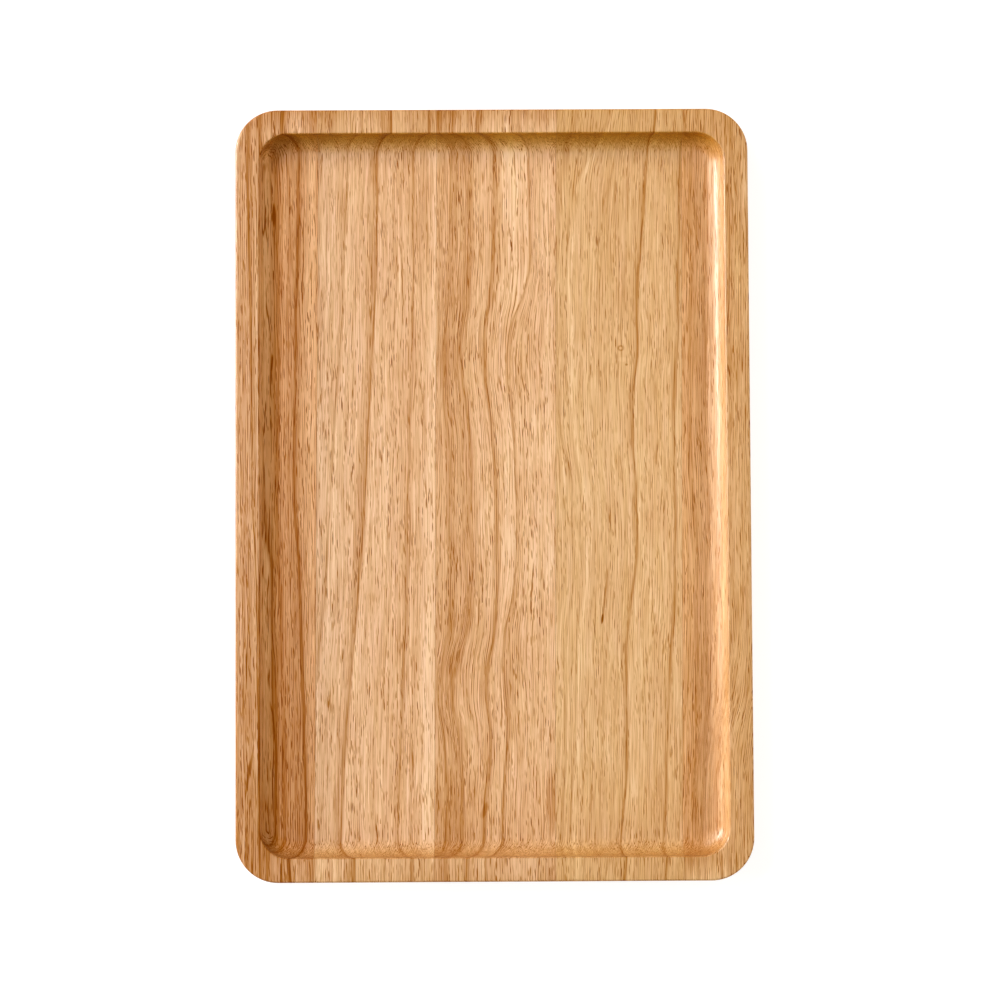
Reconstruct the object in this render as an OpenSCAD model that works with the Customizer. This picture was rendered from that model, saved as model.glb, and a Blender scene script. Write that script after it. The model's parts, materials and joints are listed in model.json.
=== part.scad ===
// Rectangular wooden serving tray.
// Five staves of rubberwood are glued edge to edge, and a shallow recess with a coved
// wall is routed into the panel. The grain and the glue joints run along Y.
// Millimetres. X runs across the grain, Y along it and Z up.
// The origin is the centre of the underside.

/* [Tray] */
// Overall length, along the grain
tray_length = 300; // [280:5:420]
// Overall width, across the grain
tray_width = 200; // [190:5:260]
// Overall thickness
tray_thickness = 15; // [13:0.5:20]
// Radius of the four outer corners, seen from above
corner_radius = 16.5; // [15:0.5:20]
// Radius of the sanded outer edge at the top
top_edge_radius = 0.9; // [0.5:0.1:1.5]
// Radius of the outer edge at the underside
bottom_edge_radius = 2; // [1:0.1:3]

/* [Recess] */
// Width of the rim along the four sides
rim_width = 9.5; // [8:0.5:12]
// Depth of the recess below the rim
recess_depth = 8.5; // [8.5:0.5:10]
// Radius of the recess's four corners, seen from above
recess_corner_radius = 11; // [8:0.5:14]
// Radius of the cove between the recess's wall and its floor
cove_radius = 7; // [4:0.5:7.5]
// Radius of the sanded edge where the rim drops into the recess
inner_edge_radius = 0.7; // [0.3:0.1:1]

/* [Staves] */
// Relative width of the left edge stave
left_edge_share = 31; // [26:0.5:36]
// Relative width of the left inner stave
left_inner_share = 46.4; // [40:0.5:52]
// Relative width of the centre stave
centre_share = 47; // [40:0.5:52]
// Relative width of the right inner stave
right_inner_share = 49.4; // [40:0.5:52]
// Relative width of the right edge stave
right_edge_share = 26.2; // [26:0.5:36]
// Angle of the joints to the long sides, because the tray isn't cut quite square to its panel
joint_skew = 0.4; // [0:0.1:0.6]
// Thickness of the cured glue between two staves
glue_thickness = 0.1; // [0.05:0.05:0.2]

/* [Hidden] */

$fn = 96;
overshoot = 1;

floor_height = tray_thickness - recess_depth;

// The rim's flat top starts where the recess's softened edge ends.
flat_corner_radius = recess_corner_radius + inner_edge_radius;

// Centres of the outer corners' arcs, and of the recess's, as distances from the tray's centre
outer_centre = [tray_width / 2 - corner_radius, tray_length / 2 - corner_radius];
recess_inset = rim_width + recess_corner_radius;
recess_centre = [tray_width / 2 - recess_inset, tray_length / 2 - recess_inset];

// The glue joints' X positions where they cross the X axis, from left to right
shares = [left_edge_share, left_inner_share, centre_share, right_inner_share, right_edge_share];
function sum_up_to(last) = last < 0 ? 0 : shares[last] + sum_up_to(last - 1);
joint_x = [for (i = [0:3]) tray_width * (sum_up_to(i) / sum_up_to(4) - 0.5)];

// What rounding takes off a corner at the origin, where the solid lies towards -X and -Y.
module rounding_waste(radius) {
    difference() {
        translate([-radius, -radius]) square(radius + overshoot);
        translate([-radius, -radius]) circle(radius);
    }
}

// Section of the blank's outer edge. X is the distance out from a corner's centre, Y is height.
module blank_section() {
    difference() {
        square([corner_radius, tray_thickness]);
        translate([corner_radius, tray_thickness]) rounding_waste(top_edge_radius);
        translate([corner_radius, 0]) mirror([0, 1]) rounding_waste(bottom_edge_radius);
    }
}

// Section of the recess's edge: floor, cove, upright wall and softened top, out to the flat rim.
module dish_section() {
    difference() {
        square([flat_corner_radius, tray_thickness]);
        difference() {
            translate([-overshoot, floor_height])
                square([recess_corner_radius + overshoot, recess_depth + overshoot]);
            translate([recess_corner_radius, floor_height]) mirror([0, 1]) rounding_waste(cove_radius);
        }
        translate([recess_corner_radius, tray_thickness])
            mirror([1, 0]) rounding_waste(inner_edge_radius);
    }
}

// Carries a section round a rectangle: turned at its four corners and straight between them.
module around(centre) {
    for (x_side = [0, 1], y_side = [0, 1])
        mirror([x_side, 0, 0]) mirror([0, y_side, 0])
            translate([centre[0], centre[1], 0]) rotate_extrude(angle = 90) children();
    for (side = [0, 1]) {
        mirror([side, 0, 0]) translate([centre[0], centre[1], 0])
            rotate([90, 0, 0]) linear_extrude(2 * centre[1]) children();
        mirror([0, side, 0]) translate([-centre[0], centre[1], 0])
            rotate([90, 0, 90]) linear_extrude(2 * centre[0]) children();
    }
}

module plate(centre, height) {
    translate([-centre[0], -centre[1], 0]) cube([2 * centre[0], 2 * centre[1], height]);
}

// The panel before routing, with its rounded outline and edges.
module blank() {
    around(outer_centre) blank_section();
    plate(outer_centre, tray_thickness);
}

// Everything inside the flat rim: the floor and the recess's wall.
module dish() {
    around(recess_centre) dish_section();
    plate(recess_centre, floor_height);
}

// The space that the dish fills, run past both faces of the blank.
module dish_space() {
    translate([0, 0, -overshoot]) linear_extrude(tray_thickness + 2 * overshoot) {
        for (x = [-1, 1] * recess_centre[0], y = [-1, 1] * recess_centre[1])
            translate([x, y]) circle(flat_corner_radius);
        square([2 * recess_centre[0], 2 * (recess_centre[1] + flat_corner_radius)], center = true);
        square([2 * (recess_centre[0] + flat_corner_radius), 2 * recess_centre[1]], center = true);
    }
}

// The routed tray between two planes that run along the joints.
module cut_from_tray(from_x, to_x) {
    intersection() {
        union() {
            difference() {
                blank();
                dish_space();
            }
            dish();
        }
        rotate([0, 0, -joint_skew]) translate([from_x, -tray_length, -overshoot])
            cube([to_x - from_x, 2 * tray_length, tray_thickness + 2 * overshoot]);
    }
}

// A stave between two joints, less half of the glue at each.
module inner_stave(joint) {
    cut_from_tray(joint_x[joint] + glue_thickness / 2, joint_x[joint + 1] - glue_thickness / 2);
}

module glue_line(joint) {
    color("#b07a45")
        cut_from_tray(joint_x[joint] - glue_thickness / 2, joint_x[joint] + glue_thickness / 2);
}

module left_edge_stave() {
    color("#cf9a6b") cut_from_tray(-tray_width, joint_x[0] - glue_thickness / 2);
}

module left_inner_stave() {
    color("#e4bb90") inner_stave(0);
}

module centre_stave() {
    color("#ddb083") inner_stave(1);
}

module right_inner_stave() {
    color("#dcb27c") inner_stave(2);
}

module right_edge_stave() {
    color("#d5a26c") cut_from_tray(joint_x[3] + glue_thickness / 2, tray_width);
}

left_edge_stave();
left_inner_stave();
centre_stave();
right_inner_stave();
right_edge_stave();
glue_line(0);  // left_edge_glue_line
glue_line(1);  // left_inner_glue_line
glue_line(2);  // right_inner_glue_line
glue_line(3);  // right_edge_glue_line
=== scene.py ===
"""Looks for a solid rubberwood serving tray: five staves and the glue films between them."""

import json
import math

import bmesh
import bpy
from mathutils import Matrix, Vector


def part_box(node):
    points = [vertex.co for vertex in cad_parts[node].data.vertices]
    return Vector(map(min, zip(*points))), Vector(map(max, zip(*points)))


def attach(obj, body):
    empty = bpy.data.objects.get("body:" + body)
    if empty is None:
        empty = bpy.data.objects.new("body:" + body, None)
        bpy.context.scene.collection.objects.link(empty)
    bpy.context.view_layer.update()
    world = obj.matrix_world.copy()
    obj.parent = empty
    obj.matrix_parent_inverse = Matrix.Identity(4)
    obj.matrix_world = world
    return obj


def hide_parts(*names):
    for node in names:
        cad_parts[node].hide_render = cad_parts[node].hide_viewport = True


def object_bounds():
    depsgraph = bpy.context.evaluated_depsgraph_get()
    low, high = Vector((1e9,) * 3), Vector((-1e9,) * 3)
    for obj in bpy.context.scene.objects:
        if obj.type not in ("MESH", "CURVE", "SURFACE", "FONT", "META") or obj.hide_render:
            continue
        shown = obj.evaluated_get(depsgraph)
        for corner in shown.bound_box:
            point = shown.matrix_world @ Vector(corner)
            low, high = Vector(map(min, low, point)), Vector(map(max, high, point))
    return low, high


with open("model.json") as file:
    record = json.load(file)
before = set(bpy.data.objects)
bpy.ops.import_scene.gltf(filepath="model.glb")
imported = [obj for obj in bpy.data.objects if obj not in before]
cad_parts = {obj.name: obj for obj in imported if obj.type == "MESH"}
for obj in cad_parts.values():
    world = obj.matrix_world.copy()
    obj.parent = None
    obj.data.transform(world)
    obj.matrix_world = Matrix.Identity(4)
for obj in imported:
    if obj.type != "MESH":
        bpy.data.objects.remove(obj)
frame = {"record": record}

cad_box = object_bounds()
MM = 0.001

# ---------------------------------------------------------------------------
# Sizes, in metres. The outline, the thickness, the recess's floor and the
# joints come from the frame; the radii, the rim and the glue repeat the CAD
# model's driving dimensions.
# ---------------------------------------------------------------------------

HALF_WIDTH, HALF_LENGTH, THICKNESS = cad_box[1]
FLOOR_HEIGHT = next(m["pos_m"][2] for m in frame["record"]["mounts"] if m["name"] == "recess_floor")

CORNER_RADIUS = 16.5 * MM
TOP_EDGE_RADIUS = 0.9 * MM
BOTTOM_EDGE_RADIUS = 2 * MM
RIM_WIDTH = 9.5 * MM
RECESS_CORNER_RADIUS = 11 * MM
COVE_RADIUS = 7 * MM
INNER_EDGE_RADIUS = 0.7 * MM

GLUE_LINES = ["left_edge_glue_line", "left_inner_glue_line", "right_inner_glue_line", "right_edge_glue_line"]
STAVES = ["left_edge_stave", "left_inner_stave", "centre_stave", "right_inner_stave", "right_edge_stave"]
GLUE_THICKNESS = 0.1 * MM


def joint_of(glue_line):
    """Where a glue line crosses the X axis, and how far it has moved along X at the +Y end."""
    corner_a, corner_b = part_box(glue_line)
    middle = (corner_a[0] + corner_b[0]) / 2
    reach = (corner_b[0] - corner_a[0] - GLUE_THICKNESS) / 2
    return middle, reach


JOINTS = [joint_of(name) for name in GLUE_LINES]
JOINT_SLOPE = JOINTS[0][1] / HALF_LENGTH

# ---------------------------------------------------------------------------
# The tray's surface as one closed mesh, which is then cut into staves and films
# ---------------------------------------------------------------------------

CORNER_STEPS = 18
LONG_STEPS = 60
SHORT_STEPS = 40
BOTTOM_EDGE_STEPS = 8
TOP_EDGE_STEPS = 6
INNER_EDGE_STEPS = 6
COVE_STEPS = 16
WELD_DISTANCE = 1e-7
SHARP_ANGLE = math.radians(40)


def arc(centre, radius, start, end, steps):
    """Points on an arc, in degrees, both ends included."""
    angles = [math.radians(start + (end - start) * i / steps) for i in range(steps + 1)]
    return [(centre[0] + radius * math.cos(a), centre[1] + radius * math.sin(a)) for a in angles]


def rim_profile():
    """Loops from the underside, round the outer edge and over the rim to the recess's floor.

    Each loop is (inset from the outline, radius of its corners, height).
    """
    bottom, top, inner, cove = BOTTOM_EDGE_RADIUS, TOP_EDGE_RADIUS, INNER_EDGE_RADIUS, COVE_RADIUS
    outside = arc((-bottom, bottom), bottom, -90, 0, BOTTOM_EDGE_STEPS)
    outside += arc((-top, THICKNESS - top), top, 0, 90, TOP_EDGE_STEPS)
    recess = arc((RIM_WIDTH - inner, THICKNESS - inner), inner, 90, 0, INNER_EDGE_STEPS)
    recess += arc((RIM_WIDTH + cove, FLOOR_HEIGHT + cove), cove, 180, 270, COVE_STEPS)
    loops = [(-out, CORNER_RADIUS + out, height) for out, height in outside]
    loops += [(inset, RECESS_CORNER_RADIUS + RIM_WIDTH - inset, height) for inset, height in recess]
    return loops


def loop_points(inset, radius, height):
    """A rounded rectangle, counter-clockwise seen from above, with the same steps for every loop."""
    cx = HALF_WIDTH - inset - radius
    cy = HALF_LENGTH - inset - radius
    corners = []
    for i, (side_x, side_y) in enumerate([(1, 1), (-1, 1), (-1, -1), (1, -1)]):
        corners.append(arc((side_x * cx, side_y * cy), radius, 90 * i, 90 * (i + 1), CORNER_STEPS))
    points = []
    for i, corner in enumerate(corners):
        points += corner
        steps = SHORT_STEPS if i % 2 == 0 else LONG_STEPS
        ax, ay = corner[-1]
        bx, by = corners[(i + 1) % 4][0]
        points += [(ax + (bx - ax) * j / steps, ay + (by - ay) * j / steps) for j in range(1, steps)]
    return [(x, y, height) for x, y in points]


def fill_inside(mesh, ring, inset, radius, height, upward):
    """Fills a rounded rectangle with a grid, four strips and four quarter fans."""
    cx = HALF_WIDTH - inset - radius
    cy = HALF_LENGTH - inset - radius
    xs = [cx - 2 * cx * i / SHORT_STEPS for i in range(SHORT_STEPS + 1)]
    ys = [cy - 2 * cy * j / LONG_STEPS for j in range(LONG_STEPS + 1)]
    grid = [[mesh.verts.new((x, y, height)) for y in ys] for x in xs]
    faces = []
    for i in range(SHORT_STEPS):
        for j in range(LONG_STEPS):
            faces.append((grid[i][j], grid[i + 1][j], grid[i + 1][j + 1], grid[i][j + 1]))
    far_side = [column[0] for column in grid]
    left_side = grid[-1]
    near_side = [column[-1] for column in reversed(grid)]
    right_side = grid[0][::-1]
    position = 0
    for side in (far_side, left_side, near_side, right_side):
        for i in range(CORNER_STEPS):
            faces.append((side[0], ring[position + i], ring[position + i + 1]))
        position += CORNER_STEPS
        for i in range(len(side) - 1):
            outer_a = ring[position + i]
            outer_b = ring[(position + i + 1) % len(ring)]
            faces.append((side[i], outer_a, outer_b, side[i + 1]))
        position += len(side) - 1
    for face in faces:
        mesh.faces.new(face if upward else face[::-1])


def tray_surface():
    """The whole tray as one closed mesh."""
    mesh = bmesh.new()
    profile = rim_profile()
    rings = [[mesh.verts.new(p) for p in loop_points(*loop)] for loop in profile]
    count = len(rings[0])
    for below, above in zip(rings, rings[1:]):
        for i in range(count):
            j = (i + 1) % count
            mesh.faces.new((below[i], below[j], above[j], above[i]))
    fill_inside(mesh, rings[-1], *profile[-1], upward=True)
    fill_inside(mesh, rings[0], *profile[0], upward=False)
    bmesh.ops.remove_doubles(mesh, verts=mesh.verts, dist=WELD_DISTANCE)
    bmesh.ops.recalc_face_normals(mesh, faces=mesh.faces)
    return mesh


def cut_away(mesh, x, keep_side):
    """Cuts the mesh along a plane parallel to the joints and closes it again."""
    normal = Vector((1, -JOINT_SLOPE, 0)).normalized() * keep_side
    result = bmesh.ops.bisect_plane(
        mesh, geom=mesh.verts[:] + mesh.edges[:] + mesh.faces[:], dist=WELD_DISTANCE,
        plane_co=(x, 0, 0), plane_no=normal, clear_inner=True, clear_outer=False)
    edges = [item for item in result["geom_cut"] if isinstance(item, bmesh.types.BMEdge)]
    bmesh.ops.triangle_fill(mesh, edges=edges, use_beauty=True, use_dissolve=False, normal=-normal)


def piece_between(name, left, right, whole):
    """A piece of the tray between two cuts. None leaves that side as it is."""
    mesh = whole.copy()
    if left is not None:
        cut_away(mesh, left, 1)
    if right is not None:
        cut_away(mesh, right, -1)
    bmesh.ops.recalc_face_normals(mesh, faces=mesh.faces)
    data = bpy.data.meshes.new(name)
    mesh.to_mesh(data)
    mesh.free()
    data.shade_smooth()
    data.set_sharp_from_angle(angle=SHARP_ANGLE)
    piece = bpy.data.objects.new(name, data)
    bpy.context.scene.collection.objects.link(piece)
    return piece


def build_pieces():
    """The five staves and the four glue films, by the name of the CAD node that each one replaces."""
    whole = tray_surface()
    half_glue = GLUE_THICKNESS / 2
    joints = [middle for middle, _ in JOINTS]
    pieces = {}
    for i, node in enumerate(STAVES):
        left = joints[i - 1] + half_glue if i > 0 else None
        right = joints[i] - half_glue if i < len(joints) else None
        pieces[node] = piece_between(node.replace("_stave", "_board"), left, right, whole)
    for node, joint in zip(GLUE_LINES, joints):
        film = node.replace("_line", "_film")
        pieces[node] = piece_between(film, joint - half_glue, joint + half_glue, whole)
    whole.free()
    return pieces


pieces = build_pieces()

# ---------------------------------------------------------------------------
# Fields: the small set of shader nodes that the materials are written with.
# In the materials all lengths are in millimetres.
# ---------------------------------------------------------------------------


class Field:
    """A value at each point of a material: a shader node's output, used in plain arithmetic."""

    def __init__(self, tree, socket):
        self.tree = tree
        self.socket = socket

    def math(self, operation, *others, clamp=False):
        """The result of a Math node, with this value first and the others after it."""
        node = self.tree.nodes.new("ShaderNodeMath")
        node.operation = operation
        node.use_clamp = clamp
        for value, target in zip((self, *others), node.inputs):
            feed(value, target)
        return Field(self.tree, node.outputs[0])

    def __add__(self, other):
        return self.math("ADD", other)

    def __sub__(self, other):
        return self.math("SUBTRACT", other)

    def __mul__(self, other):
        return self.math("MULTIPLY", other)

    def __truediv__(self, other):
        return self.math("DIVIDE", other)


def feed(value, target):
    """Gives an input socket a field or a plain number."""
    if isinstance(value, Field):
        value.tree.links.new(value.socket, target)
    else:
        target.default_value = value


def combine(tree, x, y, z):
    """A vector or a colour from three fields or numbers."""
    node = tree.nodes.new("ShaderNodeCombineXYZ")
    for value, target in zip((x, y, z), node.inputs):
        feed(value, target)
    return Field(tree, node.outputs[0])


def separate(tree, socket):
    """The three parts of a vector or a colour, as fields."""
    node = tree.nodes.new("ShaderNodeSeparateXYZ")
    tree.links.new(socket, node.inputs[0])
    return [Field(tree, output) for output in node.outputs]


def place_in_wood(tree):
    """The point's x, y and z in the part's frame."""
    coordinates = tree.nodes.new("ShaderNodeTexCoord")
    return [metres * (1 / MM) for metres in separate(tree, coordinates.outputs["Object"])]


def end_facing(tree):
    """0 where the surface runs along the grain and 1 where it is cut square across it."""
    coordinates = tree.nodes.new("ShaderNodeTexCoord")
    return separate(tree, coordinates.outputs["Normal"])[1].math("ABSOLUTE")


def ease(value, start, end):
    """0 before start, 1 past end, and smooth between them."""
    node = value.tree.nodes.new("ShaderNodeMapRange")
    node.interpolation_type = "SMOOTHSTEP"
    feed(value, node.inputs["Value"])
    node.inputs["From Min"].default_value = start
    node.inputs["From Max"].default_value = end
    return Field(value.tree, node.outputs[0])


def curve(value, points):
    """A smooth curve through points of (input, output), flat beyond the first and the last."""
    points = sorted(points)
    start = points[0][0]
    reach = points[-1][0] - start
    bottom = min(output for _, output in points)
    height = max(output for _, output in points) - bottom
    node = value.tree.nodes.new("ShaderNodeFloatCurve")
    knots = node.mapping.curves[0].points
    while len(knots) < len(points):
        knots.new(0.5, 0.5)
    for knot, (place, output) in zip(knots, points):
        knot.location = ((place - start) / reach, (output - bottom) / height)
        knot.handle_type = "AUTO_CLAMPED"
    node.mapping.update()
    feed((value - start) / reach, node.inputs["Value"])
    return Field(value.tree, node.outputs[0]) * height + bottom


def noise(place, size, strength=1.0, detail=1.0, roughness=0.5, shift=0.0):
    """Smooth noise, from about -0.5 to 0.5 times its strength.

    The place and the size of a bump are given across the grain, along it and into the wood. The
    shift moves it, in bumps, so that two pieces of wood differ.
    """
    across, along, deep = [value / length for value, length in zip(place, size)]
    node = across.tree.nodes.new("ShaderNodeTexNoise")
    node.inputs["Scale"].default_value = 1
    node.inputs["Detail"].default_value = detail
    node.inputs["Roughness"].default_value = roughness
    feed(combine(across.tree, across, along, deep + shift), node.inputs["Vector"])
    return (Field(across.tree, node.outputs[0]) - 0.5) * strength


def colour_ramp(value, stops):
    """A colour that goes through stops of (value, colour)."""
    node = value.tree.nodes.new("ShaderNodeValToRGB")
    elements = node.color_ramp.elements
    while len(elements) < len(stops):
        elements.new(1.0)
    for element, (place, colour) in zip(elements, stops):
        element.position = place
        element.color = (*colour, 1)
    feed(value, node.inputs["Fac"])
    return node.outputs["Color"]


def relief(height, shader):
    """Gives a surface fine relief of a height in millimetres, as bump."""
    node = height.tree.nodes.new("ShaderNodeBump")
    node.inputs["Distance"].default_value = MM
    feed(height, node.inputs["Height"])
    height.tree.links.new(node.outputs[0], shader.inputs["Normal"])


def new_material(name):
    """A new material, its node tree and its Principled shader."""
    material = bpy.data.materials.new(name)
    material.use_nodes = True
    return material, material.node_tree, material.node_tree.nodes["Principled BSDF"]


# ---------------------------------------------------------------------------
# Wood: one method for all five staves, and each stave's own growth
# ---------------------------------------------------------------------------

# Oiled rubberwood from its darkest vessels to its palest sapwood, by lightness from 0 to 1.
WOOD_COLOURS = [
    (0.15, (0.110, 0.022, 0.000)),
    (0.30, (0.280, 0.074, 0.002)),
    (0.42, (0.400, 0.145, 0.014)),
    (0.49, (0.480, 0.204, 0.046)),
    (0.56, (0.564, 0.274, 0.092)),
    (0.62, (0.638, 0.341, 0.140)),
    (0.66, (0.698, 0.393, 0.179)),
    (0.71, (0.772, 0.462, 0.230)),
    (0.76, (0.846, 0.538, 0.293)),
    (0.82, (0.930, 0.638, 0.375)),
]
DARKEST = 0.27
ADDED_LIGHTNESS = 0.036

# Factors on red, green and blue where the grain is cut across, at the +Y and the -Y end. At the -Y end they
# give the end grain's own darker, warmer colour; at the +Y end they also hold painted shade, which makes the
# far cove and the far end dark olive-brown. One gives way to the other within this distance of the middle.
FAR_END_TINT_AND_SHADE = (0.84, 0.64, 0.04)
NEAR_END_TINT = (0.82, 0.70, 0.46)
END_TINT_DISTANCE = 60

# Uneven growth and finish, as noise: the size of its bumps across, along and into the wood, and its
# strength, which is in millimetres for the two sways.
WIDE_SWAY = {"size": (9, 38, 9), "strength": 1.6}
CLOSE_SWAY = {"size": (3, 20, 4), "strength": 0.25, "detail": 0.0}
BLOTCHES = {"size": (12, 30, 14), "strength": 0.045, "detail": 2.0}
BANDS = {"size": (3.2, 110, 6), "strength": 0.05, "detail": 2.0}
STREAKS = {"size": (1.1, 60, 1.6), "strength": 0.09, "roughness": 0.6}
THREADS = {"size": (0.42, 18, 0.6), "strength": 0.25, "detail": 0.0}
OIL = {"size": (2.2, 34, 7), "strength": 0.22, "detail": 2.0}
HUE = {"size": (5, 26, 8), "strength": 0.05, "detail": 2.0}
GLOSS = {"size": (4, 30, 4), "strength": 0.1, "detail": 2.0}

# Dark lines between the fibres, nearly evenly spaced. They lean along X for each mm up, and their half
# width and drift are shares of the spacing. A line is gone where the noise of its breaks is low, and
# whole where it is high.
LINE_SPACING = 0.8
LINE_HALF_WIDTH = 0.17
LINE_LEAN = 0.8
LINE_DRIFT = {"size": (2.5, 36, 3), "strength": 2.6}
LINE_BREAKS = {"size": (1.1, 10, 2), "shift": 9}
LINE_GONE = -0.14
LINE_WHOLE = 0.1

# Pores: the cell that each one lies in, and its typical radius as a share of that cell. Neighbours
# across the grain are staggered along it, so that they don't line up.
FINE_PORES = {"width": 0.4, "length": 5.0, "radius": 0.42}
COARSE_PORES = {"width": 0.56, "length": 6.0, "radius": 0.3}
COARSE_PORES_SHIFT = 50
PORE_STAGGER = 4.3

# How a pore's radius and darkness vary at random, and how far its full darkness reaches from its middle.
SMALLEST_PORE = 0.4
PORE_CORE = 0.5
PORE_INVISIBLE = 0.25
PORE_DARKEST = 0.9
PORE_DARKENING = 0.74
PORE_LOSS_OF_BLUE = 0.18

# Pores stand in crowds, and between the crowds this share of their darkness is left.
PORE_CROWDS = {"size": (4, 24, 5)}
CROWD_START = -0.2
CROWD_END = 0.22
CROWD_LEAST = 0.3

# The finish: satin, duller in the pores and in dark wood. Relief is in millimetres.
ROUGHNESS = 0.35
PORE_ROUGHNESS = 0.15
DULL_LIGHTNESS = 0.32
SATIN_LIGHTNESS = 0.66
DULL_SPECULAR = 0.1
SATIN_SPECULAR = 0.5
PORE_RELIEF = 0.05
THREAD_RELIEF = 0.08

# How far the noise of each stave is from that of the one before it.
STAVE_SHIFT = 31.0
OIL_SHIFT = 3.0
HUE_SHIFT = 5.0

# The rim's tone takes over from the floor's within this height above the recess's floor.
FLOOR_MM = FLOOR_HEIGHT / MM
RIM_TONE_HEIGHT = 3.5

# Neighbouring growth lines stay at least this far apart.
NARROWEST_RING = 0.3

# A mark fades out between these squares of the distance from its middle, as a share of its half sizes.
MARK_HALF_DEPTH = 3.0
MARK_CORE = 0.1
MARK_EDGE = 1.0
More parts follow.
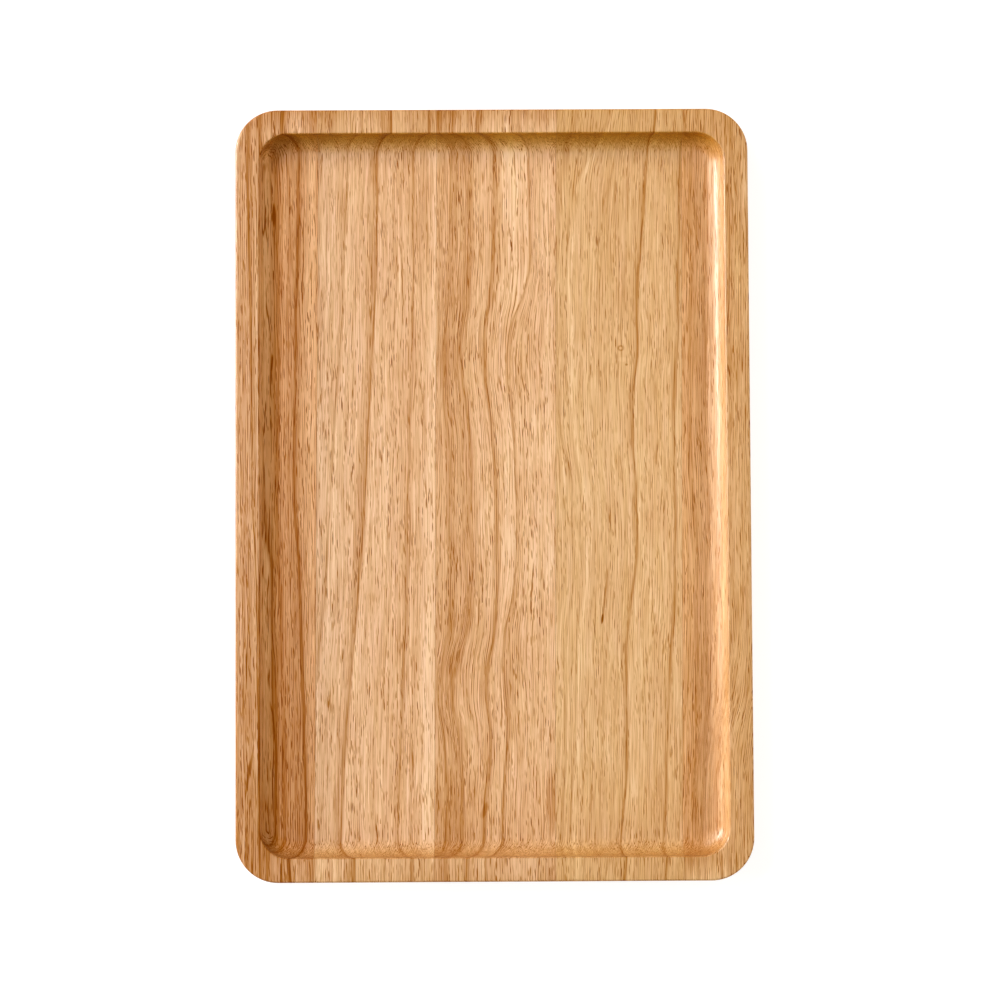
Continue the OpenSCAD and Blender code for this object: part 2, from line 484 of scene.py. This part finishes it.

# Each stave's own wood, chosen after the photo:
# - ring_lean: how far the growth lines shift along X for each mm up
# - fibres_follow: how closely the fibres follow the growth lines, from 0 to 1
# - red, blue: factors on the colour
# - rim, rim_red, rim_blue: what the rim and the sides add to lightness, to the factor on red, and as a
#   share of the blue
# - pores, lines: how strong the pores and the dark lines are
# - growth_lines: rings in the recess's floor, each as (y, x) points
# - tones: lightness from one side of the stave to the other, as (x at y = 0, lightness)
# - along: what is added to the lightness along the stave, as (y, lightness)
# - marks: soft spots of (x, y, z, half width, half length, added lightness, slant); the long pale
#   ones in the side coves are painted light and painted highlights
WOODS = {
    "left_edge_stave": {
        "ring_lean": -0.67,
        "fibres_follow": 0.2,
        "red": 1.09,
        "blue": 0.93,
        "rim": -0.002,
        "rim_red": -0.09,
        "rim_blue": 0.2,
        "pores": 1.1,
        "lines": 0.4,
        "growth_lines": [
            [
                (-150, -84.8), (-100, -85.4), (-50, -85.9), (-25, -86.4), (0, -87.5), (60, -88.5),
                (150, -90),
            ],
            [(-150, -82), (-90, -82.3), (-50, -83), (0, -84.2), (60, -84.1), (150, -84.6)],
            [
                (-150, -73.2), (-100, -73.6), (-60, -74.5), (-40, -75.3), (-20, -76.3), (0, -77.5),
                (25, -77.7), (60, -77), (100, -76), (150, -75.6),
            ],
            [(-150, -70.3), (0, -69.3), (150, -68.3)],
        ],
        "tones": [
            (-96, 0.53), (-95, 0.545), (-94.4, 0.58), (-93.5, 0.595), (-92.9, 0.53), (-92.2, 0.53),
            (-90.5, 0.55), (-90, 0.54), (-89.3, 0.555), (-88.4, 0.57), (-87.9, 0.55), (-87.5, 0.37),
            (-87.1, 0.46), (-86, 0.515), (-85.6, 0.55), (-85.2, 0.53), (-84.8, 0.505), (-84.2, 0.44),
            (-83.8, 0.475), (-83, 0.54), (-82.2, 0.575), (-81.4, 0.585), (-80.7, 0.525), (-80.3, 0.555),
            (-79.7, 0.53), (-79, 0.555), (-78.3, 0.54), (-77.6, 0.38), (-77.1, 0.46), (-76.2, 0.55),
            (-75, 0.605), (-73.5, 0.635), (-72.4, 0.67), (-71.5, 0.655), (-70.5, 0.675), (-69.8, 0.63),
            (-69.3, 0.59), (-68, 0.6), (-66, 0.56),
        ],
        "along": [
            (-143, -0.032), (-139, -0.04), (-100, -0.032), (-60, -0.008), (0, 0.012), (60, 0.022),
            (138, 0.038), (142, 0.02),
        ],
        "marks": [
            (-85.6, 110, 7, 0.8, 5.5, -0.28, 0.0),
            (-85.4, 70, 7, 0.6, 70, -0.05, 0.0),
            # The next three pale strips run the length of the left cove: painted light that lifts the cove's
            # shade, and at -90.6 a painted highlight along the inner edge.
            (-88.0, 0, 9.0, 3.0, 170, 0.13, 0.0),
            (-89.5, 95, 9, 3.5, 80, 0.07, 0.0),
            (-90.6, 0, 12.0, 1.3, 170, 0.16, 0.0),
            (-92.3, 0, 15.0, 1.8, 170, 0.06, 0.0),
            (-93.6, 0, 15.0, 0.9, 170, 0.03, 0.0),
            (-91.3, 0, 15.0, 0.9, 170, 0.03, 0.0),
            (-72, 18, 6.5, 0.5, 2.6, -0.2, 0.0),
            (-95.2, -110, 15, 0.6, 9, -0.2, 0.12),
            (-93.8, -104, 15, 0.5, 7, -0.16, 0.12),
            (-93.6, -146, 15, 0.5, 9, -0.18, 0.0),
            (-82.3, -146, 15, 0.5, 9, -0.2, 0.03),
            (-78.9, -146, 15, 0.5, 8, -0.18, -0.1),
            (-77.2, -147, 15, 0.5, 6, -0.18, 0.1),
        ],
    },
    "left_inner_stave": {
        "ring_lean": 0.7,
        "fibres_follow": 0.3,
        "red": 1.0,
        "blue": 1.07,
        "rim": -0.018,
        "rim_red": -0.02,
        "rim_blue": -0.03,
        "pores": 0.9,
        "lines": 0.28,
        "growth_lines": [
            [
                (-150, -76), (-75, -69.5), (-50, -67), (-20, -64.6), (0, -63.7), (30, -62), (50, -60),
                (80, -58.4), (110, -57.4), (150, -56.6),
            ],
            [
                (-150, -60.4), (-135, -60), (-105, -58.6), (-85, -57.2), (-50, -53.9), (-15, -51.3),
                (0, -50.5), (30, -48.9), (50, -47.4), (75, -46.2), (120, -45.1), (150, -44.9),
            ],
            [
                (-150, -46.2), (-110, -44.8), (-70, -42.6), (-30, -39.8), (0, -38.6), (60, -38.3),
                (95, -37.3), (150, -36.7),
            ],
            [
                (-150, -38.4), (-125, -37.7), (-85, -36.2), (-45, -34.2), (0, -33.7), (30, -32.8),
                (75, -31.3), (105, -30.9), (150, -30.2),
            ],
            [(-150, -23.7), (0, -22.7), (150, -21.7)],
        ],
        "tones": [
            (-80, 0.65), (-75, 0.64), (-71, 0.67), (-68, 0.69), (-66, 0.68), (-65, 0.685), (-64.2, 0.645),
            (-63.8, 0.59), (-63.3, 0.68), (-62.2, 0.735), (-61, 0.72), (-60, 0.7), (-59, 0.675),
            (-58.2, 0.67), (-57, 0.7), (-56, 0.685), (-55, 0.69), (-54, 0.665), (-53, 0.64), (-52, 0.605),
            (-51, 0.575), (-50.5, 0.48), (-50.1, 0.57), (-49.6, 0.69), (-48.6, 0.71), (-47.4, 0.705),
            (-46.5, 0.67), (-45.5, 0.68), (-44.8, 0.67), (-43.8, 0.705), (-42.6, 0.69), (-41.6, 0.7),
            (-40.6, 0.655), (-40, 0.69), (-39.2, 0.685), (-38.7, 0.65), (-38.2, 0.71), (-37, 0.67),
            (-36, 0.67), (-35, 0.665), (-34.2, 0.62), (-33.7, 0.55), (-33.2, 0.62), (-32, 0.675),
            (-31, 0.67), (-30, 0.65), (-29.5, 0.66), (-28.5, 0.68), (-27.4, 0.715), (-26.8, 0.705),
            (-26, 0.73), (-25.2, 0.755), (-24, 0.74), (-23.2, 0.755), (-20, 0.75), (-16, 0.7),
        ],
        "along": [
            (-150, -0.01), (-100, 0.005), (0, 0.01), (60, 0.0), (110, -0.01), (138, -0.018), (142, -0.03),
        ],
        "marks": [
            (-24.8, 105, 6.5, 2.6, 55, -0.06, 0.0),
            (-65.0, 112, 6.5, 5.0, 50, 0.045, 0.0),
            (-42.0, 75, 6.5, 8.0, 70, -0.015, 0.0),
            (-27.0, -85, 6.5, 3.2, 55, 0.03, 0.0),
            (-63.0, 145, 15, 2.0, 9, -0.04, 0.0),
            (-41.0, 145, 15, 2.6, 9, -0.04, 0.0),
            (-35.0, 145, 15, 3.0, 9, 0.03, 0.0),
        ],
    },
    "centre_stave": {
        "ring_lean": -0.75,
        "fibres_follow": 0.6,
        "red": 1.0,
        "blue": 1.05,
        "rim": 0.018,
        "rim_red": -0.01,
        "rim_blue": 0.02,
        "pores": 0.85,
        "lines": 0.34,
        "growth_lines": [
            [(-150, -23.7), (0, -22.6), (40, -22.2), (75, -20.8), (150, -20.5)],
            [
                (-150, -18.6), (-100, -19.4), (-85, -21.4), (-75, -22.2), (-60, -20), (-40, -17.2),
                (0, -17.4), (15, -17.6), (45, -19.3), (60, -19.2), (75, -17.7), (105, -16.3),
                (150, -15.2),
            ],
            [
                (-150, -12.4), (-115, -12.9), (-90, -14.2), (-75, -16.2), (-65, -14.6), (-52, -10.2),
                (-40, -8.7), (0, -8.4), (35, -10.4), (55, -12.7), (75, -10), (115, -8.5), (150, -8.4),
            ],
            [
                (-150, -4.6), (-120, -4.1), (-95, -1.6), (-77, -3.3), (-65, -2.2), (-45, 0.9), (-20, 1.1),
                (0, 0.7), (10, 0.4), (38, -2.1), (58, -3.6), (75, -1.7), (100, 0.1), (150, 1),
            ],
            [
                (-150, 2.6), (-120, 2.9), (-90, 4.4), (-65, 3.6), (-45, 6.3), (-25, 8.5), (0, 8.7),
                (35, 7.1), (50, 5.6), (60, 6.2), (80, 12.4), (100, 14.9), (150, 14.4),
            ],
            [(-150, 19), (0, 20.4), (60, 20.6), (150, 21.8)],
        ],
        "tones": [
            (-26, 0.64), (-23.4, 0.64), (-22.7, 0.6), (-22, 0.635), (-20.5, 0.63), (-19.3, 0.63),
            (-18.2, 0.59), (-17.5, 0.55), (-16.6, 0.555), (-16, 0.58), (-15, 0.58), (-14, 0.615),
            (-13, 0.625), (-12, 0.6), (-11, 0.585), (-10, 0.575), (-9.2, 0.565), (-8.5, 0.53), (-8, 0.57),
            (-7, 0.63), (-6, 0.66), (-4.5, 0.665), (-3, 0.68), (-2, 0.69), (-1, 0.67), (-0.2, 0.655),
            (0.3, 0.59), (0.8, 0.52), (1.4, 0.58), (2.2, 0.65), (3, 0.685), (4, 0.69), (5.2, 0.72),
            (6.5, 0.725), (7.5, 0.715), (8.1, 0.72), (8.5, 0.63), (8.8, 0.54), (9.2, 0.61), (10, 0.65),
            (11.5, 0.68), (12.5, 0.675), (14, 0.695), (16, 0.7), (17.5, 0.705), (18.5, 0.69), (20, 0.7),
            (21, 0.71), (22.5, 0.71), (23.5, 0.7), (26, 0.68), (32, 0.66),
        ],
        "along": [
            (-140, -0.055), (-120, -0.045), (-95, -0.01), (-60, -0.02), (-40, 0.01), (0, 0.03),
            (30, 0.015), (60, -0.015), (85, 0.01), (138, 0.005), (142, -0.018),
        ],
        "marks": [
            (22.3, -119, 6.5, 3.2, 14, -0.1, 0.0),
            (3, -100, 6.5, 3.5, 30, -0.02, 0.0),
            (-3.9, -123, 6.5, 1.4, 4, -0.12, 0.3),
            (-20.5, 145, 15, 1.2, 9, -0.08, 0.0),
            (-8.6, 145, 15, 1.6, 9, -0.05, 0.0),
            (-19, 55, 6.5, 2.5, 10, -0.04, 0.0),
            (7, 125, 6.5, 5.5, 25, 0.05, 0.0),
            (-2, 108, 6.5, 3.0, 30, -0.025, 0.0),
            (-20.5, 110, 6.5, 2.5, 28, -0.03, 0.0),
            (7, -118, 6.5, 4.0, 26, 0.06, 0.0),
            (22, 45, 6.5, 3.5, 45, 0.03, 0.0),
            (22, -40, 6.5, 3.5, 40, 0.03, 0.0),
            (-15, -66, 6.5, 6, 7, -0.05, 0.3),
        ],
    },
    "right_inner_stave": {
        "ring_lean": 0.2,
        "fibres_follow": 0.35,
        "red": 0.97,
        "blue": 0.97,
        "rim": -0.008,
        "rim_red": 0.0,
        "rim_blue": -0.03,
        "pores": 0.6,
        "lines": 0.24,
        "growth_lines": [
            [
                (-150, 25), (-110, 27), (-60, 28), (-25, 31), (0, 30.6), (30, 26), (60, 25), (100, 26),
                (125, 27.6), (150, 32),
            ],
            [
                (-150, 28.4), (-120, 30.2), (-90, 31.7), (-55, 32.6), (-35, 35), (-10, 35.5), (0, 34.6),
                (15, 32), (35, 29.8), (60, 28.7), (90, 29.3), (112, 31), (125, 35), (137, 41), (150, 46),
            ],
            [
                (-150, 48), (-125, 50.2), (-100, 51.8), (-75, 51.8), (-45, 53.5), (-20, 56.1), (0, 56.2),
                (5, 56.1), (20, 55), (40, 55.2), (60, 57.3), (75, 57.1), (95, 58.5), (125, 60.8),
                (150, 62.6),
            ],
            [
                (-150, 64), (-115, 66.6), (-95, 67.5), (-60, 69.4), (-35, 70.9), (0, 71.1), (35, 71.1),
                (70, 72.8), (105, 73.5), (150, 75.4),
            ],
        ],
        "tones": [
            (20, 0.66), (24.6, 0.64), (25.2, 0.66), (26, 0.68), (27.5, 0.665), (28.2, 0.68), (29, 0.67),
            (29.8, 0.65), (30.5, 0.62), (31, 0.655), (32, 0.685), (33, 0.67), (33.6, 0.67), (34.4, 0.65),
            (35, 0.69), (36, 0.73), (37, 0.69), (38, 0.685), (39, 0.67), (41, 0.68), (43, 0.675),
            (44.5, 0.66), (45.3, 0.65), (46, 0.665), (48, 0.67), (49.3, 0.68), (50.5, 0.67),
            (51.6, 0.655), (52.5, 0.675), (53.5, 0.67), (54.8, 0.635), (55.5, 0.58), (56, 0.5),
            (56.4, 0.58), (56.9, 0.69), (58, 0.7), (60, 0.685), (61.5, 0.67), (62.5, 0.68), (64, 0.665),
            (66, 0.675), (67.5, 0.67), (69, 0.665), (70, 0.645), (70.6, 0.6), (71.1, 0.53), (71.5, 0.59),
            (72, 0.67), (73, 0.685), (74, 0.67), (78, 0.65),
        ],
        "along": [
            (-143, -0.022), (-138, -0.024), (-120, -0.014), (-80, 0.006), (0, 0.011), (60, 0.001),
            (100, -0.009), (150, -0.036),
        ],
        "marks": [
            (50.3, 57, 6.5, 1.7, 1.5, -0.2, 0.0),
            (50.3, 57, 6.5, 0.8, 0.8, 0.22, 0.0),
            (52.5, 50.5, 6.5, 0.7, 0.6, -0.2, 0.0),
            (51, 52.5, 6.5, 3.0, 1.2, 0.04, 0.0),
            (42.3, -49, 6.5, 0.6, 2.4, -0.42, 0.1),
            (43.4, -40, 6.5, 0.55, 15, -0.16, 0.13),
            (41.6, 48, 6.5, 0.5, 10, -0.12, 0.0),
            (63.6, 40, 6.5, 0.8, 5, -0.08, 0.0),
        ],
    },
    "right_edge_stave": {
        "ring_lean": -0.4,
        "fibres_follow": 0.7,
        "red": 1.04,
        "blue": 0.93,
        "rim": -0.004,
        "rim_red": -0.05,
        "rim_blue": 0.03,
        "pores": 0.75,
        "lines": 0.34,
        "growth_lines": [
            [
                (-150, 76.5), (-120, 77.2), (-80, 79), (-50, 79.2), (0, 77.8), (30, 77.2), (95, 78.3),
                (150, 78.7),
            ],
            [
                (-150, 80.8), (-110, 81.3), (-90, 82.5), (-65, 84), (-10, 84), (0, 83.8), (35, 82.8),
                (60, 83.3), (110, 84.6), (150, 86),
            ],
            [(-150, 84.6), (-115, 85.6), (-95, 88), (-70, 94), (-45, 96), (0, 96), (150, 97)],
        ],
        "tones": [
            (70, 0.6), (74, 0.605), (75, 0.575), (76.3, 0.59), (77, 0.575), (77.8, 0.54), (78.4, 0.565),
            (80, 0.58), (81, 0.575), (82, 0.575), (83.2, 0.57), (83.8, 0.55), (84.5, 0.57), (86, 0.585),
            (89, 0.59), (90.5, 0.6), (91.5, 0.57), (92, 0.59), (93.5, 0.57), (95, 0.56), (96, 0.555),
            (96.5, 0.59), (98, 0.6), (100, 0.61), (102, 0.63), (104, 0.63),
        ],
        "along": [
            (-143, 0.025), (-139, 0.0), (-80, 0.012), (-30, 0.04), (20, 0.04), (60, 0.022), (150, 0.022),
        ],
        "marks": [
            # The pale strip below, along the whole right cove, is a painted highlight under the sheen.
            (89.8, 0, 10.5, 1.8, 170, 0.055, 0.0),
            (82.5, -118, 7.5, 4.0, 35, 0.04, 0.0),
            (77.2, -121, 6.5, 1.2, 9, -0.06, 0.0),
            (87.2, -146, 15, 0.7, 8, -0.16, 0.0),
            (90.8, -146, 15, 0.6, 8, -0.16, 0.0),
            (93.0, -145, 15, 0.6, 8, -0.16, 0.0),
            (96.5, -40, 15, 0.5, 10, -0.1, 0.0),
            (97.0, 50, 15, 0.4, 5, -0.12, 0.0),
        ],
    },
}


def growth_place(x, y, lines):
    """Where a point lies among the growth lines, as the x that it would have at y = 0.

    Each line is a list of (y, x) points that follow one ring down the stave, y = 0 among them.
    """
    levels = [dict(line)[0] for line in lines]
    places = [curve(y, line) for line in lines]
    total = (x - places[0]).math("MINIMUM", 0) + levels[0]
    for i in range(len(lines) - 1):
        gap = (places[i + 1] - places[i]).math("MAXIMUM", NARROWEST_RING)
        share = (x - places[i]).math("DIVIDE", gap, clamp=True)
        total = total + share * (levels[i + 1] - levels[i])
    return total + (x - places[-1]).math("MAXIMUM", 0)


def marks_and_painted_light_on(x, y, z, marks):
    """What dark and pale spots, soft at the edge, add to the lightness; some are painted light and painted
    highlights.
    """
    spots = []
    for mark_x, mark_y, mark_z, half_width, half_length, lightness, slant in marks:
        along = y - mark_y
        across = (x - mark_x - along * slant) / half_width
        along = along / half_length
        depth = (z - mark_z) / MARK_HALF_DEPTH
        squared_distance = across * across + along * along + depth * depth
        spots.append(ease(squared_distance, MARK_EDGE, MARK_CORE) * lightness)
    return sum(spots[1:], spots[0])


def pores_in(across, along, depth, width, length, radius):
    """Vessels opened by the cut: 0 outside the pores and 1 in the middle of the darkest ones."""
    tree = across.tree
    node = tree.nodes.new("ShaderNodeTexVoronoi")
    node.inputs["Scale"].default_value = 1
    staggered = along + across * PORE_STAGGER
    feed(combine(tree, across / width, staggered / length, depth / width), node.inputs["Vector"])
    size, darkness, _ = separate(tree, node.outputs["Color"])
    share = Field(tree, node.outputs["Distance"]) / (size * radius + radius * SMALLEST_PORE)
    return ease(share, 1.0, PORE_CORE) * ease(darkness, PORE_INVISIBLE, PORE_DARKEST)


def lines_between(fibres, y, depth, level):
    """Dark lines between the fibres: 1 in the middle of a line and 0 outside the lines."""
    place = (fibres, y, depth)
    crossed = (fibres + level * LINE_LEAN) / LINE_SPACING + noise(place, **LINE_DRIFT)
    unbroken = ease(noise(place, **LINE_BREAKS), LINE_GONE, LINE_WHOLE)
    return ease(crossed.math("PINGPONG", 0.5), LINE_HALF_WIDTH, 0.0) * unbroken


def pores_at(fibres, y, depth):
    """Fine and coarse pores together, in crowds: from 0 outside them to 1."""
    fine = pores_in(fibres, y, depth, **FINE_PORES)
    coarse = pores_in(fibres, y, depth + COARSE_PORES_SHIFT, **COARSE_PORES)
    crowds = ease(noise((fibres, y, depth), **PORE_CROWDS), CROWD_START, CROWD_END)
    return (fine + coarse).math("MINIMUM", 1.0) * (crowds * (1 - CROWD_LEAST) + CROWD_LEAST)


def wood_fields(tree, wood, seed):
    """The wood's lightness, pores and threads, and how far a point is from the floor's to the rim's tone."""
    x, y, z = place_in_wood(tree)
    level = z - FLOOR_MM
    depth = z + seed * STAVE_SHIFT
    sway = noise((x, y, depth), **WIDE_SWAY) + noise((x, y, depth), **CLOSE_SWAY)
    rings = growth_place(x - level * wood["ring_lean"] + sway, y, wood["growth_lines"])
    fibres = x + sway + (rings - x) * wood["fibres_follow"]

    tone = curve(rings, wood["tones"]) + curve(y, wood["along"])
    blotches = noise((rings, y, depth), **BLOTCHES)
    bands = noise((rings, y, depth), **BANDS)
    streaks = noise((fibres, y, depth), **STREAKS)
    threads = noise((fibres, y, depth), **THREADS)
    lines = lines_between(fibres, y, depth, level)
    pores = pores_at(fibres, y, depth)
    rim = ease(level, 0.0, RIM_TONE_HEIGHT)

    light = tone + blotches + bands + streaks + threads + rim * wood["rim"] + ADDED_LIGHTNESS
    light = light * (pores * (-PORE_DARKENING * wood["pores"]) + 1) - lines * wood["lines"]
    # The marks add grain spots, and also painted light and painted highlights in the side coves.
    light = light + marks_and_painted_light_on(x, y, z, wood["marks"])
    return light.math("MAXIMUM", DARKEST), pores, threads, rim


def wood_material(node, seed):
    """Oiled rubberwood, satin, with open pores along the grain and darker, warmer end grain, with painted
    shade added on the +Y end's cut faces.
    """
    wood = WOODS[node]
    material, tree, shader = new_material(SLOTS[node])
    light, pores, threads, rim = wood_fields(tree, wood, seed)

    place = place_in_wood(tree)
    cut = end_facing(tree)
    oil = noise(place, shift=seed * OIL_SHIFT, **OIL)
    hue = noise(place, shift=seed * HUE_SHIFT, **HUE)
    # Toward the +Y end the cut faces take painted shade as well as the end grain's own colour.
    far = ease(place[1], -END_TINT_DISTANCE, END_TINT_DISTANCE)
    red, green, blue = [
        cut * (far * (far_tint_and_shade - near_tint) + (near_tint - 1)) + 1
        for far_tint_and_shade, near_tint in zip(FAR_END_TINT_AND_SHADE, NEAR_END_TINT)
    ]
    red = red * (rim * wood["rim_red"] + wood["red"])
    green = green * (hue + 1)
    blue = blue * (oil + wood["blue"]) * (pores * -PORE_LOSS_OF_BLUE + 1) * (rim * wood["rim_blue"] + 1)

    tinted = tree.nodes.new("ShaderNodeVectorMath")
    tinted.operation = "MULTIPLY"
    tree.links.new(colour_ramp(light, WOOD_COLOURS), tinted.inputs[0])
    feed(combine(tree, red, green, blue), tinted.inputs[1])
    tree.links.new(tinted.outputs[0], shader.inputs["Base Color"])

    satin = ease(light, DULL_LIGHTNESS, SATIN_LIGHTNESS)
    feed(noise(place, **GLOSS) + ROUGHNESS + pores * PORE_ROUGHNESS, shader.inputs["Roughness"])
    feed(satin * (SATIN_SPECULAR - DULL_SPECULAR) + DULL_SPECULAR, shader.inputs["Specular IOR Level"])
    relief(pores * -PORE_RELIEF + threads * THREAD_RELIEF, shader)
    return material


# ---------------------------------------------------------------------------
# Glue
# ---------------------------------------------------------------------------

# From a thin film to a thick one, by the amount of glue from 0 to 1.
GLUE_COLOURS = [
    (0.3, (0.46, 0.21, 0.07)),
    (0.7, (0.27, 0.10, 0.025)),
]
GLUE_AMOUNT = {"size": (1, 9, 2), "detail": 3.0}
GLUE_ROUGHNESS = 0.38
GLUE_UNEVEN_ROUGHNESS = 0.2
GLUE_RELIEF = 0.04


def glue_material(node, seed):
    """A hard film of wood glue: amber, uneven where more or less of it was squeezed out."""
    material, tree, shader = new_material(SLOTS[node])
    amount = noise(place_in_wood(tree), shift=seed, **GLUE_AMOUNT)
    tree.links.new(colour_ramp(amount + 0.5, GLUE_COLOURS), shader.inputs["Base Color"])
    feed(amount * GLUE_UNEVEN_ROUGHNESS + GLUE_ROUGHNESS, shader.inputs["Roughness"])
    relief(amount * GLUE_RELIEF, shader)
    return material


# ---------------------------------------------------------------------------
# Every piece gets its material, rides on the tray and replaces its CAD node
# ---------------------------------------------------------------------------

SLOTS = {node: node.replace("_stave", "_wood") for node in STAVES}
for node in GLUE_LINES:
    SLOTS[node] = "wood_glue"

for seed, (node, piece) in enumerate(pieces.items()):
    material = wood_material(node, seed) if node in WOODS else glue_material(node, seed)
    piece.data.materials.append(material)
    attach(piece, "root")
    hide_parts(node)

# ---------------------------------------------------------------------------
# Backdrop, light and camera, in metres, degrees and watts
# ---------------------------------------------------------------------------

BACKDROP_HALF_SIDE = 5.0
FLOOR_DROP = 0.05 * MM
FLOOR_BASE = 0.25
FLOOR_GLOW = 0.9
WALL_HEIGHT = 4.0
WALL_BASE = 0.0
WALL_GLOW = 1.0
BACKDROP_ROUGHNESS = 0.9

SOFTBOX_SIDE = 1.0
SOFTBOX_DISTANCE = 3.0
WHITE = (1, 1, 1)
WARM = (1.0, 0.85, 0.60)
AMBER = (1.0, 0.78, 0.38)
WORLD_STRENGTH = 0.015

CAMERA_PLACE = Vector((-3.0, -50.8, 1000)) * MM
CAMERA_TILT = 2.79
CAMERA_PAN = -0.31
CAMERA_ROLL = -0.30
CAMERA_LENS = 91.6
CAMERA_SENSOR = 36
NEAR_CLIP = 0.01


def backdrop(name, points, faces, base, glow):
    """A plain pale surface that also gives out white light of its own."""
    mesh = bpy.data.meshes.new(name)
    mesh.from_pydata(points, [], faces)
    material, _, shader = new_material(name)
    shader.inputs["Base Color"].default_value = (base, base, base, 1)
    shader.inputs["Roughness"].default_value = BACKDROP_ROUGHNESS
    shader.inputs["Emission Color"].default_value = (*WHITE, 1)
    shader.inputs["Emission Strength"].default_value = glow
    mesh.materials.append(material)
    surface = bpy.data.objects.new(name, mesh)
    bpy.context.scene.collection.objects.link(surface)
    return surface


def pale_studio():
    """A white floor, and white walls round it for low views. The walls don't light the tray."""
    half = BACKDROP_HALF_SIDE
    corners = [(-half, -half), (half, -half), (half, half), (-half, half)]
    low = [(x, y, -FLOOR_DROP) for x, y in corners]
    high = [(x, y, WALL_HEIGHT) for x, y in corners]
    floor = backdrop("floor", low, [(0, 1, 2, 3)], FLOOR_BASE, FLOOR_GLOW)
    sides = [(i, (i + 1) % 4, (i + 1) % 4 + 4, i + 4) for i in range(4)]
    walls = backdrop("walls", low + high, sides, WALL_BASE, WALL_GLOW)
    walls.visible_diffuse = False
    walls.visible_glossy = False
    walls.visible_shadow = False


def softbox(name, azimuth, elevation, power, colour=WHITE):
    """A square softbox aimed at the tray. Azimuth 0 is +X and 90 is +Y."""
    data = bpy.data.lights.new(name, "AREA")
    data.shape = "SQUARE"
    data.size = SOFTBOX_SIDE
    data.energy = power
    data.color = colour
    light = bpy.data.objects.new(name, data)
    a, e = math.radians(azimuth), math.radians(elevation)
    direction = Vector((math.cos(e) * math.cos(a), math.cos(e) * math.sin(a), math.sin(e)))
    light.location = direction * SOFTBOX_DISTANCE
    light.rotation_euler = direction.to_track_quat("Z", "Y").to_euler()
    bpy.context.scene.collection.objects.link(light)
    return light


def studio_lights():
    """Soft light from the left, some of it not mirrored in the wood, and fill from the other sides."""
    softbox("key", azimuth=150, elevation=50, power=42)
    softbox("second", azimuth=120, elevation=35, power=22)
    softbox("top", azimuth=180, elevation=75, power=11)
    unmirrored = [
        softbox("low_left", azimuth=180, elevation=15, power=75),
        softbox("right_fill", azimuth=30, elevation=25, power=33, colour=WARM),
        softbox("front_fill", azimuth=315, elevation=25, power=19, colour=AMBER),
    ]
    for light in unmirrored:
        light.visible_glossy = False
    sheen_on_right_cove = softbox("sheen", azimuth=161, elevation=16, power=150)
    sheen_on_right_cove.visible_diffuse = False


def dim_world():
    """A little white light from all round."""
    world = bpy.data.worlds.new("studio")
    world.use_nodes = True
    background = world.node_tree.nodes["Background"]
    background.inputs["Color"].default_value = (*WHITE, 1)
    background.inputs["Strength"].default_value = WORLD_STRENGTH
    bpy.context.scene.world = world


def photo_camera():
    """The photo's viewpoint: nearly straight down, a little from the -Y side."""
    data = bpy.data.cameras.new("camera")
    data.sensor_width = CAMERA_SENSOR
    data.lens = CAMERA_LENS
    data.clip_start = NEAR_CLIP
    camera = bpy.data.objects.new("camera", data)
    camera.location = CAMERA_PLACE
    camera.rotation_euler = [math.radians(a) for a in (CAMERA_TILT, CAMERA_PAN, CAMERA_ROLL)]
    bpy.context.scene.collection.objects.link(camera)
    return camera


pale_studio()
studio_lights()
dim_world()
bpy.context.scene.camera = photo_camera()
bpy.context.scene.view_settings.view_transform = "Standard"
bpy.context.scene.view_settings.look = "None"
